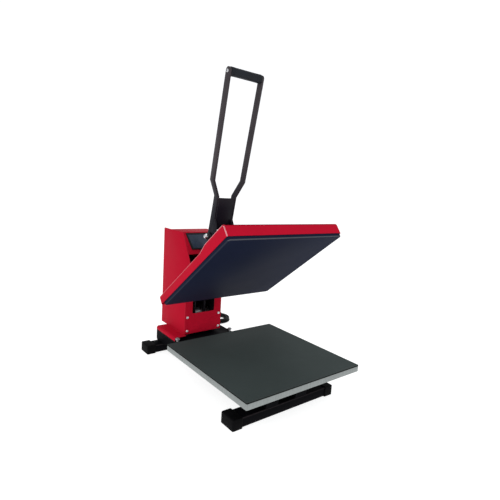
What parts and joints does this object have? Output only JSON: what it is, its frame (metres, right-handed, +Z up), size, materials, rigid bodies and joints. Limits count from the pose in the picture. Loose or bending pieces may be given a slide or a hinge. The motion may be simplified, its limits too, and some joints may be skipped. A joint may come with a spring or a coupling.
{
  "type": "flat heat press",
  "caption": "Clamshell heat press, standing open: flat heated upper platen on a hinged arm with a long loop handle, padded lower platen, red column with a slanted control panel.",
  "frame": {"origin": "on the floor, under the middle of the length from the platen front edge to the column back, on the centre line", "axes": "+X to the operator's right, +Y from the platen towards the column at the back, +Z up"},
  "size_m": [0.4798, 0.838, 0.8855],
  "materials": {
    "black_paint": "satin black powder coat",
    "red_paint": "smooth red powder coat",
    "foot_rubber": "matt moulded rubber",
    "bare_aluminium": "milled, lightly dulled",
    "coated_plate": "dark non-stick coating",
    "pad_silicone": "matt silicone foam",
    "zinc_steel": "zinc plated",
    "dark_steel": "black oxide, oiled",
    "bright_chrome": "polished",
    "black_plastic": "fine moulded grain",
    "screen_film": "smooth dark film, switched off",
    "board_green": "solder mask",
    "mica_brown": "pressed mica",
    "lining_fibre": "pressed fibre",
    "grip_rubber": "soft foam rubber",
    "rocker_plastic": "smooth",
    "cord_rubber": "smooth sheath",
    "tie_fabric": "woven strap"
  },
  "bodies": {
    "base": {"front_beam": "black_paint", "rear_beam": "black_paint", "foot_front_left": "foot_rubber", "foot_front_right": "foot_rubber", "foot_rear_left": "foot_rubber", "foot_rear_right": "foot_rubber", "base_rail_left": "black_paint", "base_rail_right": "black_paint", "pedestal_plate": "black_paint", "pedestal_sides": "black_paint", "pedestal_bolts": "zinc_steel", "platen_bar_front": "black_paint", "platen_bar_rear": "black_paint", "platen_spacers": "zinc_steel", "platen_bolts": "zinc_steel", "lower_platen": "bare_aluminium", "silicone_pad": "pad_silicone", "column_left_panel": "red_paint", "column_right_panel": "red_paint", "column_front_panel": "red_paint", "panel_screws": "zinc_steel", "console_cover": "red_paint", "rear_cover": "red_paint", "controller_bezel": "black_plastic", "controller_screen": "screen_film", "controller_board": "board_green", "cheek_left": "black_paint", "cheek_right": "black_paint", "hinge_shaft": "dark_steel", "shaft_end_bolts": "dark_steel", "link_anchor_pins": "dark_steel", "power_relay": "black_plastic", "lift_spring": "zinc_steel", "switch_frame": "black_plastic", "cord_gland": "black_plastic", "mains_lead": "cord_rubber", "mains_coil": "cord_rubber", "mains_tail": "cord_rubber", "mains_plug": "cord_rubber", "cord_tie": "tie_fabric"},
    "upper_arm": {"arm_left": "black_paint", "arm_right": "black_paint", "arm_foot_plate": "black_paint", "arm_tubes": "zinc_steel", "pressure_block": "black_paint", "heater_cover": "red_paint", "heating_plate": "coated_plate", "heater_mat": "mica_brown", "insulation_board": "lining_fibre", "heater_studs": "zinc_steel"},
    "handle": {"handle_plate": "black_paint", "handle_left_bar": "black_paint", "handle_right_bar": "black_paint", "handle_grip": "grip_rubber", "grip_screws": "bright_chrome", "handle_pivot_bolt": "bright_chrome", "link_pins": "dark_steel"},
    "toggle_link": {"toggle_links": "black_paint"},
    "pressure_screw": {"pressure_knob": "black_plastic"},
    "rocker": {"power_rocker": "rocker_plastic"}
  },
  "joints": [
    {"name": "arm_close", "type": "hinge", "parent": "base", "child": "upper_arm", "pos_m": [0, 0.215, 0.1315], "axis": [1, 0, 0], "range_deg": [0, 37.5], "stiffness_Nm_per_rad": 60, "springref_deg": -54.43, "deforming": ["lift_spring"]},
    {"name": "handle_pull", "type": "hinge", "parent": "upper_arm", "child": "handle", "pos_m": [0, 0.09583, 0.41101], "axis": [1, 0, 0], "range_deg": [0, 37.5]},
    {"name": "link_swing", "type": "hinge", "parent": "base", "child": "toggle_link", "pos_m": [0, 0.2007, 0.185], "axis": [1, 0, 0], "range_deg": [0, 38.8]},
    {"name": "pressure_knob_turn", "type": "hinge", "parent": "upper_arm", "child": "pressure_screw", "pos_m": [0, -0.06981, 0.35005], "axis": [0, 0.6088, 0.7934], "continuous": true},
    {"name": "power_switch_rock", "type": "hinge", "parent": "base", "child": "rocker", "pos_m": [-0.034, 0.296, 0.187], "axis": [-1, 0, 0], "range_deg": [0, 16]}
  ],
  "couplings": [
    {"joint": "handle_pull", "follows": "arm_close", "ratio": 1},
    {"joint": "link_swing", "follows": "arm_close", "ratio": 1.0309}
  ]
}
